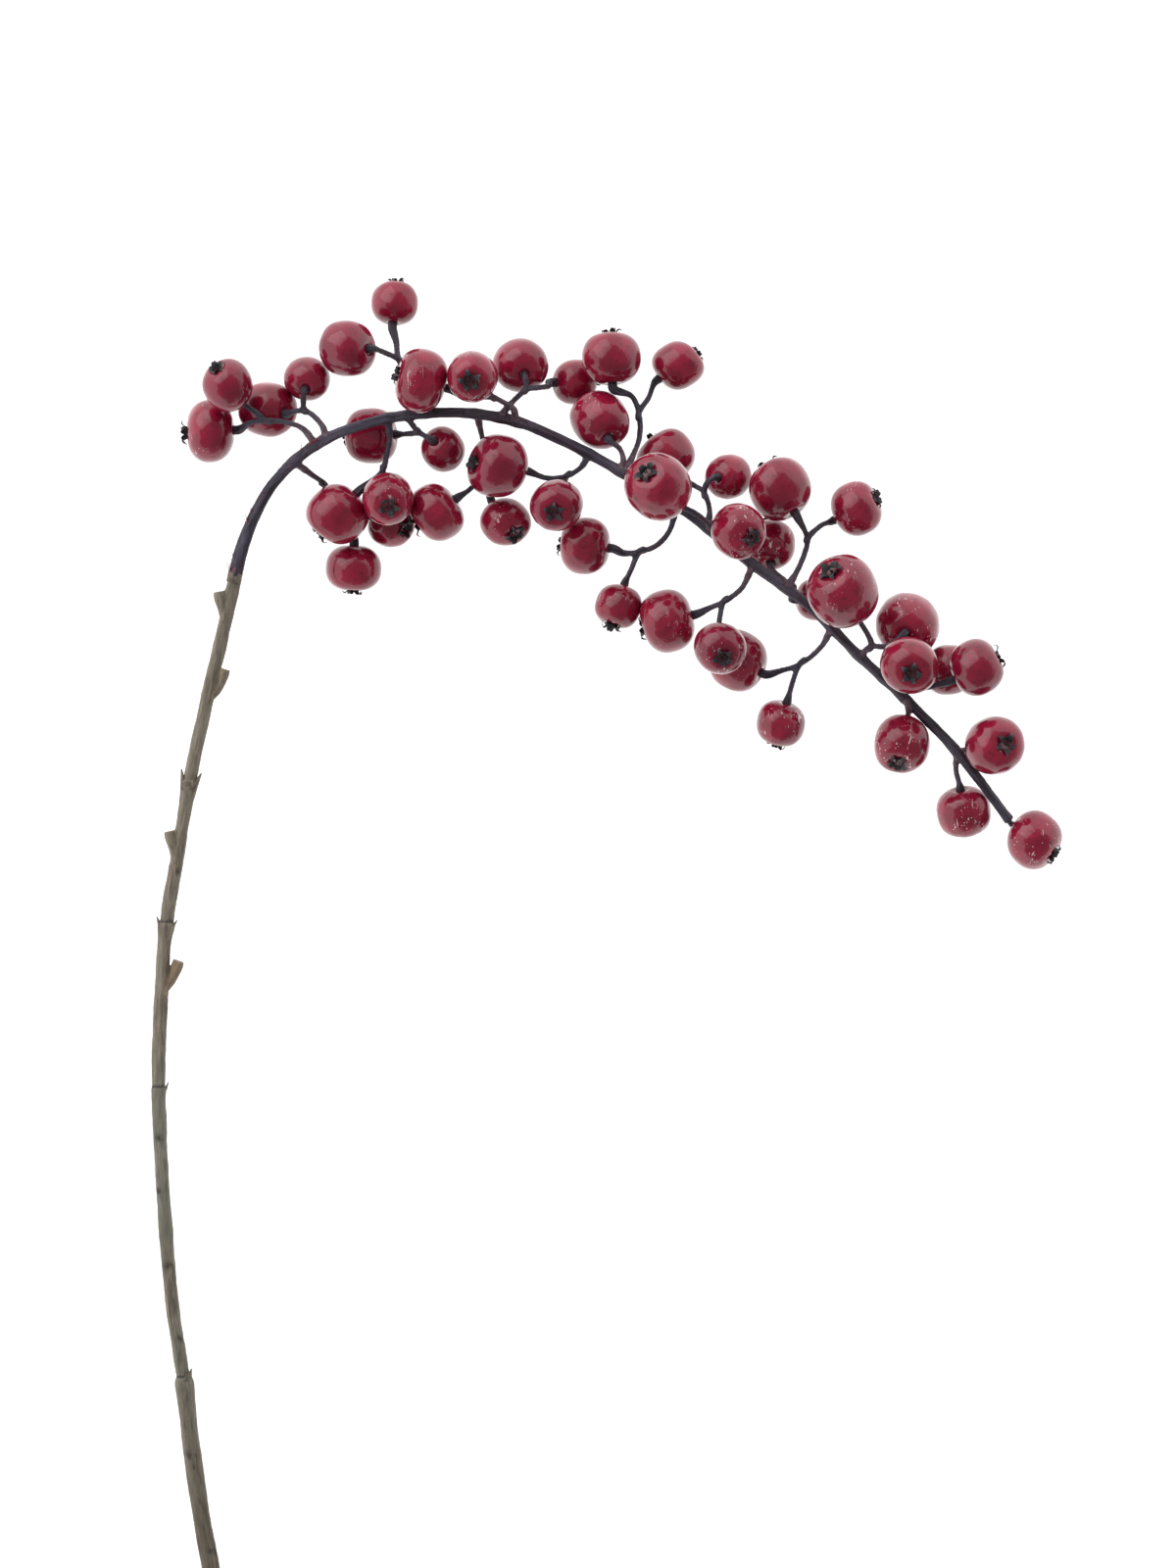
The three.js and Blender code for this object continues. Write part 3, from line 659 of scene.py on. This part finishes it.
def pome_mesh(pome):
    """A lathe-like fruit with a stalk dimple, a calyx basin, five faint lobes and its own lumps."""
    draw = pome.random
    wide = pome.half_width
    long = pome.half_length
    lean = [draw.uniform(-0.07, 0.07) for _ in range(2)]
    lobes = draw.uniform(0, 6.28)
    oval = draw.uniform(0.005, 0.03)
    seed = Vector((draw.uniform(-50, 50), draw.uniform(-50, 50), draw.uniform(-50, 50)))
    square = draw.uniform(2.2, 2.55)
    ribs = draw.randint(8, 13)
    ribbed = draw.uniform(0.0, 0.006)
    tilt = [draw.uniform(-0.13, 0.13) for _ in range(2)]
    vertices = []
    ends = []
    for ring in range(POME_LONG + 1):
        polar = math.pi * ring / POME_LONG
        across, up = math.sin(polar), -math.cos(polar)
        reach = (abs(across) ** square + abs(up) ** square) ** (-1 / square)
        for side in range(POME_ROUND if 0 < ring < POME_LONG else 1):
            turn = 2 * math.pi * side / POME_ROUND
            r = wide * reach * across * (1 + oval * math.cos(2 * turn + lobes))
            h = long * reach * up
            toward_calyx = ramp(up, 0.2, 0.95)
            r *= 1 + 0.018 * toward_calyx * math.cos(5 * turn + lobes)
            r *= 1 + ribbed * math.cos(ribs * turn + lobes + 1.5 * polar)
            x, y = r * math.cos(turn), r * math.sin(turn)
            share = math.hypot(x, y) / wide
            if up < 0:
                h += long * 0.12 * bell(share, 0.2)
            else:
                h -= long * 0.15 * bell(share, 0.33)
                h += long * 0.5 * toward_calyx * (tilt[0] * x + tilt[1] * y) / wide
            x += lean[0] * h
            y += lean[1] * h
            lump = noise.noise(Vector((x, y, h)) / (1.9 * wide) + seed)
            swell = 1 + 0.045 * lump * min(1.0, share + 0.35)
            point = pome.to_world(x * swell, y * swell, h * swell)
            point.z = max(point.z, 0.0)
            vertices.append(point)
            ends.append(bell(share, 0.13) * 0.8 if up < 0 else bell(share, 0.2))
    faces = []
    top = len(vertices) - 1
    for side in range(POME_ROUND):
        after = (side + 1) % POME_ROUND
        faces.append((0, 1 + after, 1 + side))
        for ring in range(POME_LONG - 2):
            low = 1 + ring * POME_ROUND
            high = low + POME_ROUND
            faces.append((low + side, low + after, high + after, high + side))
        last = 1 + (POME_LONG - 2) * POME_ROUND
        faces.append((last + side, last + after, top))
    piece = new_object(f"pome_{pome.number:02d}", vertices, faces, [SKIN])
    store(piece.data, "ends", "FLOAT", ends)
    # Fruit low in the spray gets less of the darker ripe red, so its red is brighter: painted light that
    # lifts the fruit lying in the shade of the others.
    ripeness_and_painted_light = draw.uniform(0.0, 0.5) ** 1.3 * ramp(pome.middle.z / MM, 5.0, 12.0)
    store(piece.data, "ripeness_and_painted_light", "FLOAT", [ripeness_and_painted_light] * len(vertices))
    dusty = ramp(draw.random(), 0.35, 0.85)
    store(piece.data, "dusty", "FLOAT", [dusty] * len(vertices))
    belongs(piece, "pome_skin", pome.name)
    pome.lean = lean
    pome.floor = long * 0.86


def add_tongue(vertices, faces, tips, rows, thickness):
    """A closed tapering tongue from rows of (middle, sideways, outward) and its half widths."""
    first = len(vertices)
    for share, middle, sideways, outward, half in rows:
        for lane in (-1.0, -0.45, 0.45, 1.0):
            curl = outward * (0.28 * half * abs(lane) ** 2)
            for face in (1, -1):
                lift = outward * thickness * (0.5 - 0.4 * share) * face
                vertices.append(middle + sideways * half * lane + curl + lift)
                tips.append(share)
    for row in range(len(rows) - 1):
        a = first + row * 8
        b = a + 8
        for lane in range(3):
            i = a + lane * 2
            j = b + lane * 2
            faces.append((i, i + 2, j + 2, j))
            faces.append((i + 1, j + 1, j + 3, i + 3))
        faces.append((a, b, b + 1, a + 1))
        faces.append((a + 6, a + 7, b + 7, b + 6))
    last = first + (len(rows) - 1) * 8
    faces.append((first, first + 1, first + 3, first + 5, first + 7, first + 6, first + 4, first + 2))
    faces.append((last, last + 2, last + 4, last + 6, last + 7, last + 5, last + 3, last + 1))


def calyx_mesh(pome):
    """Five dried sepals round a withered cup, with the stubs of the stamens in its middle."""
    draw = pome.random
    vertices = []
    faces = []
    tips = []
    size = draw.uniform(1.06, 1.3) * (0.6 + 0.4 * pome.half_width / (4.1 * MM)) * MM
    start = draw.uniform(0, 6.28)
    lean = Vector((pome.lean[0], pome.lean[1], 0)) * pome.floor

    def world(point):
        return pome.middle + pome.turn @ (point + lean)

    for sepal in range(SEPALS):
        turn = start + 2 * math.pi * (sepal + draw.uniform(-0.1, 0.1)) / SEPALS
        out = Vector((math.cos(turn), math.sin(turn), 0))
        side = Vector((-math.sin(turn), math.cos(turn), 0))
        reach = size * draw.uniform(0.95, 1.25)
        lift = size * draw.uniform(0.65, 1.2)
        fold = draw.uniform(-0.7, 0.1) * size
        rows = []
        for step in range(6):
            share = step / 5
            half = size * (0.52 * (1 - share) ** 0.8 + 0.06)
            height = pome.floor - 0.3 * size + lift * math.sin(share * 2.2) + fold * share ** 3
            middle = out * (0.38 * size + reach * share) + Vector((0, 0, height))
            sideways = (side + out * 0.2 * draw.uniform(-1, 1) * share).normalized()
            rows.append((share, world(middle), pome.turn @ sideways, pome.axis, half))
        add_tongue(vertices, faces, tips, rows, 0.17 * MM)
    for stub in range(9):
        turn = draw.uniform(0, 6.28)
        spread = size * draw.uniform(0.05, 0.42)
        foot = Vector((math.cos(turn) * spread, math.sin(turn) * spread, pome.floor - 0.3 * size))
        lean_out = Vector((math.cos(turn), math.sin(turn), 0)) * draw.uniform(0, 0.3) * size
        head = foot + lean_out + Vector((0, 0, size * draw.uniform(0.35, 0.75)))
        limb = Limb([world(foot), world(head)], lambda share, s: (0.1 - 0.04 * share) * MM, 0.12 * MM)
        before = len(vertices)
        limb.add_tube(vertices, faces, 5)
        tips += [0.2] * (len(vertices) - before)
    piece = new_object(f"calyx_{pome.number:02d}", vertices, faces, [HUSK])
    store(piece.data, "tip", "FLOAT", tips)
    belongs(piece, "calyx_husk")


# ---- Branch and twigs ----------------------------------------------------------------------------

SCALY_SHARE = 0.55           # of the twigs have pink scaly feet
SCALY_REACH = 3.6            # how far up the twig the scales reach


def twig_radius(share, s):
    radius = TWIG_RADIUS + (TWIG_FOOT_RADIUS - TWIG_RADIUS) * max(0.0, 1 - share / 0.22)
    radius += (STALK_END_RADIUS - TWIG_RADIUS) * ramp(share, 0.7, 0.97)
    radius += 0.07 * bell(s / MM - 1.9, 0.35)
    return radius * MM


def branch_radius(share):
    where = share * (len(BRANCH_RADIUS) - 1)
    low = min(int(where), len(BRANCH_RADIUS) - 2)
    return BRANCH_RADIUS[low] + (BRANCH_RADIUS[low + 1] - BRANCH_RADIUS[low]) * (where - low)


def stalk_route(start, bends, pome):
    last = place(bends[-1]) if bends else start[-1]
    ahead = min(1.2 * MM, 0.4 * (last - pome.seat).length)
    return [*start, *[place(bend) for bend in bends], pome.seat - pome.axis * ahead, pome.seat]


def twig_limbs(pomes):
    limbs = []
    for number, (stem_route, stalks) in enumerate(TWIGS):
        stem = [place(point) for point in stem_route]
        before = stem[-1].lerp(stem[-2], 0.3) if len(stem) > 1 else stem[-1]
        for order, (fruit, bends) in enumerate(stalks):
            start = stem if order == 0 or len(stem) == 1 else [before, stem[-1]]
            points = stalk_route(start, bends, pomes[fruit - 1])
            limbs.append(Limb(points, twig_radius, 0.25 * MM, seed=number + 0.3 * order))
    return limbs


def branch_stem():
    points = [place(point) for point in BRANCH_ROUTE]
    feet = [place(route[0]) for route, _ in TWIGS]
    plain = Limb(points, lambda share, s: branch_radius(share) * MM, 0.3 * MM)
    for k, centre in enumerate(plain.centres):
        nearest = min(np.linalg.norm(centre - np.array(foot)) for foot in feet)
        plain.radii[k] += 0.12 * MM * bell(nearest / MM, 1.2)
    return plain


def branch_relief(limb, number, s, cosine, sine):
    """Soft ridges that wander round the stem, and fine lumps; the rings of old bud scales on the twigs come
    from twig_radius.
    """
    turn = math.atan2(sine, cosine)
    drift = 0.09 * s / MM + 2 * limb.seed
    main = number == 0
    ridges = math.cos(5 * turn + drift) * (0.065 if main else 0.035)
    ridges += math.cos(3 * turn - 0.7 * drift) * (0.04 if main else 0.02)
    grain = Vector((cosine * 1.6, sine * 1.6, 0.35 * s / MM + 9 * limb.seed))
    lumps = (0.055 if main else 0.035) * noise.noise(grain * 1.3) + 0.03 * noise.noise(grain * 3.1)
    return (ridges + lumps) * MM


def scaly_feet():
    """The feet of some twigs, where the bark is pink and scaly, as (place, strength) pairs."""
    draw = random.Random(21)
    feet = []
    for number, (stem_route, _) in enumerate(TWIGS):
        strength = draw.uniform(0.5, 1.0) if draw.random() < SCALY_SHARE else 0.0
        feet.append((place(stem_route[0]), strength))
    return feet


def build_branch(pomes):
    limbs = [branch_stem(), *twig_limbs(pomes)]
    piece = fused("branch_and_twigs", limbs, 12, 0.2 * MM, 3, [BRANCH])
    owners = carve(piece, limbs, branch_relief)
    feet = scaly_feet()
    scaly = []
    for vertex, owner in zip(piece.data.vertices, owners):
        reach = 0.15 if owner == 0 else 1.0
        scaly.append(max(strength * reach * bell((vertex.co - foot).length / MM, SCALY_REACH)
                         for foot, strength in feet))
    store(piece.data, "scaly", "FLOAT", scaly)
    ends = kdtree.KDTree(len(pomes))
    for n, pome in enumerate(pomes):
        ends.insert(pome.seat, n)
    ends.balance()
    worn = [bell(ends.find(vertex.co)[2] / MM, 1.2) * 0.9 for vertex in piece.data.vertices]
    store(piece.data, "worn", "FLOAT", worn)
    belongs(piece, "branch_bark", "berry_branch")
    return limbs[0]


# ---- The cane ------------------------------------------------------------------------------------

CANE_GROOVES = 3.0
LOOSE_GRAIN = 7.0            # sets the small pieces' grain apart from the cane's
TIP_STAND = 0.3 * MM         # how far a bract's tip stands off the cane
RING_STEP = 0.4              # above a ring the cane steps in to its own thickness within this
STUB_TAN = [0.0, 0.1, 0.1, 0.2, 0.75]     # how tan the cane and each of its stubs is
# Old leaf scars: the y of each and how far round to the right of the top it sits.
SCARS = [(-45.2, 0.5), (-86.0, -0.2), (-94.4, -0.5), (-105.8, 0.1), (-117.0, 0.4), (-135.0, -0.3),
         (-150.0, 0.5)]


def moss_at(y):
    """How olive the cane is: brown above, greenest below its middle, brown again at its foot."""
    return 0.15 + 0.75 * ramp(-y, 68, 95) * (1 - 0.75 * ramp(-y, 118, 130))


def age_at(y):
    """How dark with age the cane is: not at all above its lowest ring, most at its foot."""
    return ramp(-y, 120, 150)


def cane_radius(y):
    radius = CANE_RADIUS + (CANE_FOOT_RADIUS - CANE_RADIUS) * ramp(-y, 122.6, 124.6)
    for at, swell, half in CANE_RINGS:
        radius += 0.8 * swell * ramp(y, at - 2.4 * half, at) * (1 - ramp(y, at, at + RING_STEP))
    return radius


def cane_limbs():
    points = [place(point) for point in CANE_ROUTE]
    stem = Limb(points, lambda share, s: CANE_RADIUS * MM, 0.3 * MM)
    for k, centre in enumerate(stem.centres):
        stem.radii[k] = cane_radius(centre[1] / MM - SLEEVE_Y) * MM
    limbs = [stem]
    for number, (base, tip, radii) in enumerate(CANE_STUBS):
        def stub_radius(share, s, radii=radii):
            neck = radii[0] * (0.45 + 0.55 * ramp(share, 0.0, 0.4))
            return (neck + (radii[1] - radii[0]) * 1.15 * bell(share - 0.86, 0.26)) * MM

        middle = place(base).lerp(place(tip), 0.5) + Vector((0.2, -0.3, 0.1)) * MM
        limbs.append(Limb([place(base), middle, place(tip)], stub_radius, 0.25 * MM, seed=number + 0.5))
    return limbs


def cane_relief(limb, number, s, cosine, sine):
    turn = math.atan2(sine, cosine)
    grain = Vector((cosine * 1.9, sine * 1.9, 0.3 * s / MM + 9 * limb.seed))
    lumps = 0.13 * noise.noise(grain * 0.8) + 0.06 * noise.noise(grain * 2.6)
    ribs = 0.05 * math.cos(CANE_GROOVES * turn + 0.05 * s / MM)
    return (lumps + ribs) * MM


def build_cane():
    limbs = cane_limbs()
    piece = fused("cane_stem", limbs, 20, 0.16 * MM, 2, [CANE])
    owners = carve(piece, limbs, cane_relief)
    mesh = piece.data
    tips = [(limb.centres[-1], limb.tangents[-1]) for limb in limbs]
    tips.append((limbs[0].centres[0], -limbs[0].tangents[0]))
    cut = []
    scar = []
    moss = []
    age = []
    for vertex, owner in zip(mesh.vertices, owners):
        here = np.array(vertex.co)
        normal = np.array(vertex.normal)
        facing = max(bell(np.linalg.norm(here - tip) / MM, 1.3) * ramp(normal.dot(way), 0.45, 0.8)
                     for tip, way in tips)
        cut.append(min(1.0, max(facing * 1.3, STUB_TAN[owner])))
        y = vertex.co.y / MM - SLEEVE_Y
        ragged = 0.35 * noise.noise(vertex.co / MM * 1.2)
        # The topmost ring is an open sheath, so it has no dark line.
        rings = max(bell(y - at - RING_STEP + 0.6 * ragged, 0.22) for at, _, _ in CANE_RINGS[:-1])
        marks = max(bell(y - at + ragged, 0.55) * bell(vertex.normal.x - side, 0.4) for at, side in SCARS)
        scar.append(max(rings, marks * ramp(vertex.normal.z, -0.2, 0.3)))
        moss.append(moss_at(y))
        age.append(age_at(y))
    store(mesh, "cut", "FLOAT", cut)
    store(mesh, "scar", "FLOAT", scar)
    store(mesh, "moss", "FLOAT", moss)
    store(mesh, "age", "FLOAT", age)
    belongs(piece, "cane_bark", "cane")
    return limbs[0]


def grain_of(vertices):
    return [(v[0] / MM, v[2] / MM, v[1] / MM + LOOSE_GRAIN) for v in vertices]


def small_bark_piece(name, vertices, faces, cut, scar):
    piece = new_object(name, vertices, faces, [CANE])
    store(piece.data, "grain", "FLOAT_VECTOR", grain_of(vertices))
    store(piece.data, "cut", "FLOAT", [cut] * len(vertices))
    store(piece.data, "scar", "FLOAT", [scar] * len(vertices))
    store(piece.data, "moss", "FLOAT", [moss_at(v[1] / MM - SLEEVE_Y) for v in vertices])
    store(piece.data, "age", "FLOAT", [age_at(v[1] / MM - SLEEVE_Y) for v in vertices])
    belongs(piece, "cane_bark")


def build_sleeve_rim(stem):
    """The torn bark lip round the cane's open end, from which the branch comes out."""
    draw = random.Random(5)
    sides = 40
    centre = stem.centres[-1]
    along, across, beside = stem.tangents[-1], stem.across[-1], stem.beside[-1]
    heights = []
    for turn in np.linspace(0, 2 * math.pi, sides, endpoint=False):
        tear = abs(noise.noise(Vector((math.cos(turn) * 1.7, math.sin(turn) * 1.7, 3.0))))
        heights.append(0.35 + 0.5 * tear + draw.uniform(0, 0.16))
    vertices = []
    for stand, low in ((0.06, True), (0.1, False), (-0.12, False), (-0.2, True)):
        radius = CANE_RADIUS + stand
        for side in range(sides):
            turn = 2 * math.pi * side / sides
            h = -1.0 if low else heights[side]
            ring = across * math.cos(turn) + beside * math.sin(turn)
            vertices.append(centre + ring * radius * MM + along * h * MM)
    faces = []
    for side in range(sides):
        after = (side + 1) % sides
        for loop in range(4):
            a, b = loop * sides, (loop + 1) % 4 * sides
            faces.append((a + side, a + after, b + after, b + side))
    small_bark_piece("sleeve_rim", vertices, faces, 0.12, 0.25)


def build_bracts(stem):
    """Dry pointed scales that stand off the cane's ring nodes."""
    scales = [(-32.8, 172, 3.1, 0.9), (-32.8, 8, 3.0, 0.9), (-32.6, 95, 1.2, 0.8), (-78.9, 5, 1.4, 0.5),
              (-53.6, 190, 1.2, 0.6), (-53.4, 10, 1.1, 0.6), (-123.4, 20, 1.5, 0.8), (-123.6, 60, 1.2, 0.7)]
    vertices = []
    faces = []
    tips = []
    for y, degrees, length, half in scales:
        k = int(np.argmin(np.abs(stem.centres[:, 1] / MM - SLEEVE_Y - y)))
        turn = math.radians(degrees)
        out = Vector((math.cos(turn), 0, math.sin(turn)))
        along = Vector(stem.tangents[k])
        out = (out - along * out.dot(along)).normalized()
        side = along.cross(out)
        radius = stem.radii[k]
        thickness = 0.3 * length * MM
        rows = []
        for step in range(6):
            share = step / 5
            stand = (radius - 0.5 * thickness) * (1 - share) + (radius + TIP_STAND) * share
            middle = Vector(stem.centres[k]) + along * length * share * MM + out * stand
            rows.append((share, middle, side, -out, half * (1 - share) ** 0.8 * MM + 0.05 * MM))
        add_tongue(vertices, faces, tips, rows, thickness)
    small_bark_piece("cane_bracts", vertices, faces, 0.1, 0.3)


def build_flecks(stem):
    """Thin red flakes of bark that stand off the branch's outer side, most of them near its foot."""
    draw = random.Random(11)
    vertices = []
    faces = []
    shares = []
    for flake in range(22):
        k = int(len(stem.centres) * 0.16 * draw.random() ** 1.3)
        lift = draw.uniform(-0.3, 1.0)
        out = Vector(stem.across[k]) * math.sin(lift) - Vector(stem.beside[k]) * math.cos(lift)
        along = Vector(stem.tangents[k])
        length = draw.uniform(0.5, 1.4) * MM
        half = draw.uniform(0.1, 0.22) * MM
        rows = []
        for step in range(4):
            share = step / 3
            stand = stem.radii[k] * 0.92 + 0.85 * length * share
            middle = Vector(stem.centres[k]) + along * length * share + out * stand
            rows.append((share, middle, along.cross(out), -out, half * (1.05 - share)))
        add_tongue(vertices, faces, shares, rows, 0.07 * MM)
    piece = new_object("branch_flecks", vertices, faces, [SKIN])
    store(piece.data, "ripeness_and_painted_light", "FLOAT", [0.2 * share for share in shares])
    belongs(piece, "pome_skin")


# ---- The sprig -----------------------------------------------------------------------------------

pomes = [Pome(number) for number in range(1, POME_COUNT + 1)]
for pome in pomes:
    pome_mesh(pome)
    calyx_mesh(pome)
build_flecks(build_branch(pomes))
cane = build_cane()
build_sleeve_rim(cane)
build_bracts(cane)


# ---- Floor, light and camera ---------------------------------------------------------------------

VIEW_HEIGHT = 1.0            # the camera above the branch
FRAME_HEIGHT = 240 * MM      # what the picture takes in from top to bottom
SENSOR = 36.0
VIEW_X = -3.0 * MM
VIEW_Y = 25.8 * MM
FLOOR_HALF = 3.0
TENT_STRENGTH = 1.4
GAP_WAY = (0.2, -0.3, 0.93)   # towards the darker gap in the tent


def floor():
    far = FLOOR_HALF
    ground = new_object("floor", [(-far, -far, 0), (far, -far, 0), (far, far, 0), (-far, far, 0)],
                        [(0, 1, 2, 3)], [], smooth=False)
    made, tree, shader = material("white_sheet")
    shader.inputs["Base Color"].default_value = (0.4, 0.4, 0.4, 1)
    shader.inputs["Roughness"].default_value = 0.9
    shader.inputs["Specular IOR Level"].default_value = 0.1
    shader.inputs["Emission Color"].default_value = (1, 1, 1, 1)
    shader.inputs["Emission Strength"].default_value = 1.0
    ground.data.materials.append(made)


def light_tent():
    """White all round, with an uneven darker gap overhead that leaves the fruit its dark cores."""
    world = bpy.data.worlds.new("tent")
    bpy.context.scene.world = world
    world.use_nodes = True
    tree = world.node_tree
    back = tree.nodes["Background"]
    way = tree.nodes.new("ShaderNodeTexCoord").outputs["Generated"]
    toward_gap = tree.nodes.new("ShaderNodeVectorMath")
    toward_gap.operation = "DOT_PRODUCT"
    tree.links.new(way, toward_gap.inputs[0])
    toward_gap.inputs[1].default_value = GAP_WAY
    unevenness = math_node(tree, "MULTIPLY", noise_node(tree, way, 3.2, 4.0, 0.55), 0.9)
    edge = math_node(tree, "ADD", toward_gap.outputs["Value"], unevenness)
    halved = math_node(tree, "MULTIPLY", edge, 0.5)
    tone = ramp_node(tree, halved, [(0.0, 1.0), (0.44, 1.0), (0.51, 0.24), (1.0, 0.14)])
    tree.links.new(tone, back.inputs["Color"])
    back.inputs["Strength"].default_value = TENT_STRENGTH


def panel(name, where, size, power):
    lamp = bpy.data.lights.new(name, "AREA")
    lamp.shape = "RECTANGLE"
    lamp.size, lamp.size_y = size
    lamp.energy = power
    piece = bpy.data.objects.new(name, lamp)
    piece.location = where
    piece.rotation_euler = (Vector((0, 0, 0)) - Vector(where)).to_track_quat("-Z", "Y").to_euler()
    bpy.context.scene.collection.objects.link(piece)


def camera():
    lens = bpy.data.cameras.new("overhead")
    lens.sensor_width = SENSOR
    lens.lens = SENSOR * VIEW_HEIGHT / FRAME_HEIGHT
    lens.clip_start = 0.01
    piece = bpy.data.objects.new("overhead", lens)
    piece.location = (VIEW_X, VIEW_Y, VIEW_HEIGHT + 9 * MM)
    bpy.context.scene.collection.objects.link(piece)
    bpy.context.scene.camera = piece


floor()
light_tent()
panel("softbox_left", (-0.8, 0.9, 0.9), (1.5, 1.5), 8.0)
camera()
bpy.context.scene.view_settings.view_transform = "Standard"

bpy.context.view_layer.update()
